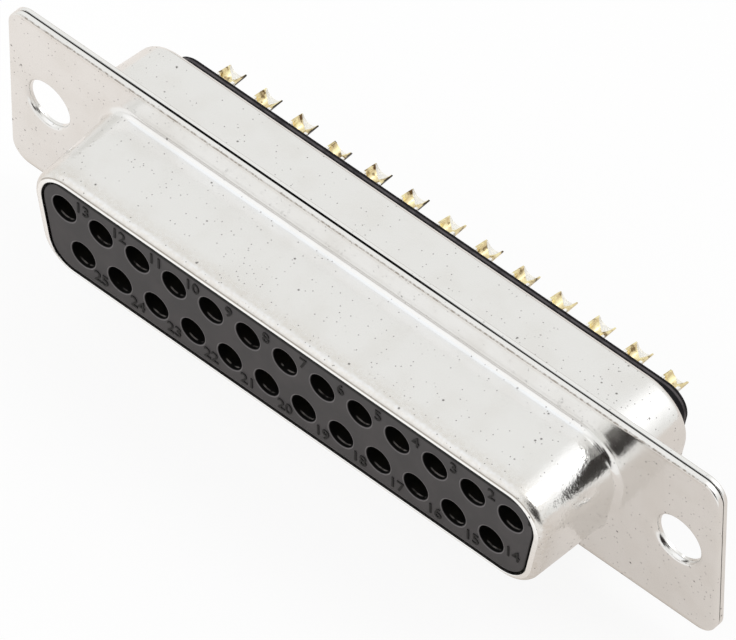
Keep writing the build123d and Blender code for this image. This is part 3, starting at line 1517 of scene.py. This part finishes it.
@dataclass(frozen=True)
class Gilding:
    """Thin pale gold over copper alloy, with patches of tarnish, painted white highlights in the cups
    and round their feet, and painted shade low on their outer sides.

    The painted highlight in a cup is a triangle that opens backwards, as seen from above.

    Args:
        name: The material's name.
        bare_y: Where the triangle's point lies along Y.
        bare_left: How fast it widens to one side.
        bare_right: How fast it widens to the other.
        bare_shift: How far its other side is moved out.
        foot_y: The painted highlight's ring at the cup's foot, along Y.
        foot_z: The fade of that ring upwards from the contact's axis.
        under_x: The fade of the painted shade on the outer side away from the axis.
        under_z: The fade of that side below the axis.
        tip_y: The tarnish at a cup's end, as distances before it.
        tip_x: The fade of that tarnish away from the axis.
        tarnished_x: The fade along the rows of the tarnish, and of the painted shade's full strength.
        bore_fade: The fade from outside a cup's bore to inside, as distances beyond its radius.
        cloud_size: The size of the gold's clouds.
        scratch_size: The width of its scratches, and scratch_stretch how much longer they are.
        roughness: Its least roughness.
        gloss: The strength of the painted highlights' reflection.
        relief: The depth of the scratches.
    """

    name: str
    bare_y: float = 7.82
    bare_left: float = 1.4
    bare_right: float = 0.8
    bare_shift: float = 0.06
    foot_y: Point = (7.10, 7.34)
    foot_z: Point = (-0.52, -0.42)
    under_x: Point = (0.46, 0.52)
    under_z: Point = (-0.03, -0.07)
    tip_y: Point = (0.34, 0.12)
    tip_x: Point = (-0.44, -0.50)
    tarnished_x: Point = (-1.1, -1.4)
    bore_fade: Point = (0.14, 0.08)
    cloud_size: float = 0.45
    scratch_size: float = 0.10
    scratch_stretch: float = 9.0
    gold: Colour = (0.84, 0.71, 0.42)
    yellow: Colour = (1.0, 0.91, 0.54)
    brown: Colour = (0.13, 0.07, 0.02)
    # Colour of the painted shade low on the outer sides
    black: Colour = (0.012, 0.008, 0.004)
    # Colour of the painted white highlights
    bare: Colour = (1.0, 0.99, 0.95)
    roughness: float = 0.14
    gloss: float = 0.08
    relief: float = 0.006

    def material(self, contacts: Contacts) -> bpy.types.Material:
        """Makes the material.

        Args:
            contacts: The contacts, for their places and their cups.

        Returns:
            The material.
        """
        shader = Shader.material(self.name)
        clouds = shader.noise(self.cloud_size, 3.0)
        scratches = shader.noise(self.scratch_size, stretch=(1.0, self.scratch_stretch, 1.0))
        along = shader.axis("Y")
        side, above = shader.offsets(contacts.pattern)
        outer, inner = ((contacts.cup_bore + width) ** 2 for width in self.bore_fade)
        inside = (side * side + above * above).rise(outer, inner)
        tarnish_and_shade = shader.axis("X").rise(*self.tarnished_x)
        past = along - self.bare_y
        # A painted white highlight: a triangle in each cup, opening backwards, and a ring round the
        # shank at its foot
        bare = inside * (side + past * self.bare_left).rise(-0.04, 0.04)
        bare = bare * (past * self.bare_right + self.bare_shift - side).rise(-0.03, 0.03)
        foot = along.within(*self.foot_y, 0.04) * above.rise(*self.foot_z)
        bare = bare + foot * (1 - bare)
        # Painted shade low on each contact's outer side, full towards -X and patchy elsewhere
        under = (1 - inside) * side.rise(*self.under_x) * above.rise(*self.under_z)
        dark = under * (tarnish_and_shade + (1 - tarnish_and_shade) * clouds.rise(0.50, 0.62) * 0.6)
        start, end = (contacts.cup_end - distance for distance in self.tip_y)
        tips = along.within(start, end, 0.06) * side.rise(*self.tip_x)
        tips = tips * tarnish_and_shade * clouds.rise(0.42, 0.50) * 0.85
        layers = (
            (clouds.rise(0.48, 0.38) * 0.9, self.yellow),
            (clouds.rise(0.53, 0.66) * 0.8 + tips, self.brown),
            (dark, self.black),
            (bare, self.bare),
        )
        return shader.finish(
            {
                "Base Color": shader.coats(self.gold, layers),
                "Metallic": 1 - bare - dark * 0.9,
                "Specular IOR Level": self.gloss,
                "Roughness": clouds * 0.2 + self.roughness,
                "Normal": shader.bump(scratches * (1 - bare), self.relief),
            }
        )


@dataclass(frozen=True)
class Zone:
    """A soft round part of the surroundings: its direction, its fade and its colour.

    Args:
        middle: The direction of its middle.
        inner: The angle from the middle where it starts to fade, in degrees.
        outer: The angle where it ends, in degrees.
        colour: Its colour.
    """

    middle: tuple[float, float, float]
    inner: float
    outer: float
    colour: Colour


@dataclass
class Studio:
    """The camera, the surroundings and the floor.

    Angles are in degrees, and places and sizes in millimetres. The paper has painted shade that
    deepens to one side and is whiter far behind, and it glows for the camera and in reflections.
    The dark zones are the room round the camera.
    """

    camera_place: tuple[float, float, float] = (276.99, -302.19, 475.51)
    azimuth: float = 42.424
    elevation: float = 49.241
    roll: float = -0.088
    lens: float = 556.63
    sensor: float = 36.0
    floor_z: float = -8.0
    floor_size: float = 4000.0
    dim_x: Point = (-28.0, 24.0)
    far_y: Point = (-11.0, -18.0)
    seen_glow: float = 0.88
    mirrored_glow: float = 0.70
    white: Colour = (1.0, 1.0, 1.0)
    paper: Colour = (0.92, 0.875, 0.84)
    # The paper's painted shade, deepening towards +X
    dim_paper: Colour = (0.78, 0.73, 0.69)
    far_paper: Colour = (1.0, 0.99, 0.98)
    sky: Colour = (0.89, 0.89, 0.875)
    room: Colour = (0.025, 0.020, 0.018)
    dim_room: Colour = (0.034, 0.026, 0.021)
    zones: tuple[Zone, ...] = (
        Zone((-0.44, -0.54, 0.72), 15, 40, (1.08, 1.08, 1.08)),
        Zone((-0.43, -0.12, 0.89), 8, 20, (1.04, 1.07, 1.11)),
        Zone((-0.44, -0.885, 0.12), 3, 11, (0.62, 0.60, 0.58)),
        Zone((-0.44, 0.87, 0.05), 6, 16, (0.60, 0.58, 0.55)),
        Zone((0.45, 0.42, 0.79), 4, 46, (1.22, 1.22, 1.22)),
        Zone((0.45, 0.42, 0.79), 3, 16, (3.6, 3.6, 3.6)),
        Zone((0.43, -0.55, 0.715), 7, 10, dim_room),
        Zone((0.60, -0.56, 0.57), 7, 10, dim_room),
        Zone((0.78, -0.47, 0.42), 11, 18, room),
        Zone((0.87, -0.47, 0.05), 14, 23, (0.025, 0.022, 0.020)),
        Zone((0.55, -0.80, 0.22), 10, 18, room),
        Zone((0.85, -0.10, 0.51), 11, 18, room),
        Zone((0.58, -0.14, 0.80), 9, 15, room),
    )

    def camera(self) -> None:
        """Sets the camera where the photograph was taken from."""
        data = bpy.data.cameras.new("camera")
        data.lens = self.lens
        data.sensor_width = self.sensor
        seen = bpy.data.objects.new("camera", data)
        turn = Matrix.Rotation(math.radians(self.azimuth), 4, "Z")
        tilt = Matrix.Rotation(math.radians(90 - self.elevation), 4, "X")
        lean = Matrix.Rotation(math.radians(self.roll), 4, "Z")
        place = Matrix.Translation(Vector(self.camera_place) * METRES)
        seen.matrix_world = place @ turn @ tilt @ lean
        bpy.context.scene.collection.objects.link(seen)
        bpy.context.scene.camera = seen

    def floor(self) -> None:
        """Lays the pale floor below the object."""
        form = bmesh.new()
        bmesh.ops.create_grid(form, size=self.floor_size / 2 * METRES)
        bmesh.ops.translate(form, vec=(0, 0, self.floor_z * METRES), verts=form.verts)
        mesh = bpy.data.meshes.new("floor")
        form.to_mesh(mesh)
        form.free()
        shader = Shader.material("floor_paper")
        rays = shader.node("LightPath").outputs
        seen, mirrored = Value(shader, rays["Is Camera Ray"]), Value(shader, rays["Is Glossy Ray"])
        layers = (
            # Painted shade on the paper towards +X, and whiter paper far off along Y
            (shader.axis("X").rise(*self.dim_x), self.dim_paper),
            (shader.axis("Y").rise(*self.far_y), self.far_paper),
            (seen, self.white),
        )
        paper = shader.coats(self.paper, layers)
        lit = shader.node("BsdfDiffuse", None, {"Color": paper})
        glow = shader.node("Emission", None, {"Color": paper, "Strength": 1.0})
        share = seen * self.seen_glow + mirrored * self.mirrored_glow
        mixed = shader.node("MixShader", None, {0: share, 1: lit.outputs[0], 2: glow.outputs[0]})
        shader.node("OutputMaterial", None, {0: mixed.outputs[0]})
        mesh.materials.append(shader.owner)
        laid = bpy.data.objects.new("floor", mesh)
        bpy.context.scene.collection.objects.link(laid)

    def world(self) -> None:
        """Surrounds the object with soft light and the dark room round the camera."""
        world = bpy.data.worlds.new("studio")
        bpy.context.scene.world = world
        shader = Shader(world)
        seen = Value(shader, shader.node("LightPath").outputs["Is Camera Ray"])
        layers = [(shader.towards(zone), zone.colour) for zone in self.zones]
        around = shader.coats(self.sky, [*layers, (seen, self.white)])
        background = shader.node("Background", None, {"Color": around, "Strength": 1.0})
        shader.node("OutputWorld", None, {0: background.outputs[0]})

    def build(self) -> None:
        """Sets up everything round the object."""
        self.camera()
        self.world()
        self.floor()


def main() -> None:
    """Builds every sub-assembly in order and reports each piece."""
    logging.basicConfig(level=logging.INFO, format="%(message)s")
    log.info("%d CAD nodes in the frame", len(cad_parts))
    pattern = Pattern()
    shells = Shells()
    insulators = Insulators(pattern, shells)
    contacts = Contacts(pattern)
    face_plastic = FaceMoulding(
        "face_plastic",
        plastic=(0.058, 0.055, 0.057),
        sheen=(0.072, 0.067, 0.069),
    ).material(insulators)
    back_plastic = BackMoulding(
        "back_plastic",
        plastic=(0.004, 0.0035, 0.005),
        sheen=(0.008, 0.007, 0.009),
        roughness=0.49,
        gloss=0.12,
    ).material()
    front_plating = PlatedSteel(
        "front_bright_plating",
        rim=(-4.3, -5.6),
        lip=(-5.895, -5.91),
        nose_line=(-5.885, -5.865),
        shadow=(0.33, 0.40),
        corner_y=(0.1, -0.6),
    ).material()
    rear_plating = PlatedSteel(
        "rear_bright_plating",
        rim=NOWHERE,
        lip=(4.42, 4.45),
        nose_line=(4.36, 4.38),
        shadow=(0.40, 0.47),
        corner_y=NOWHERE,
    ).material()
    shells.build_front(front_plating)
    shells.build_rear(rear_plating)
    insulators.build_front(face_plastic)
    insulators.build_rear(back_plastic)
    contacts.build(Gilding("contact_gold").material(contacts))
    Numbers(pattern, insulators.face_y).build(face_plastic)
    Studio().build()
    bpy.context.scene.view_settings.view_transform = "Standard"


if __name__ == "__main__":
    main()
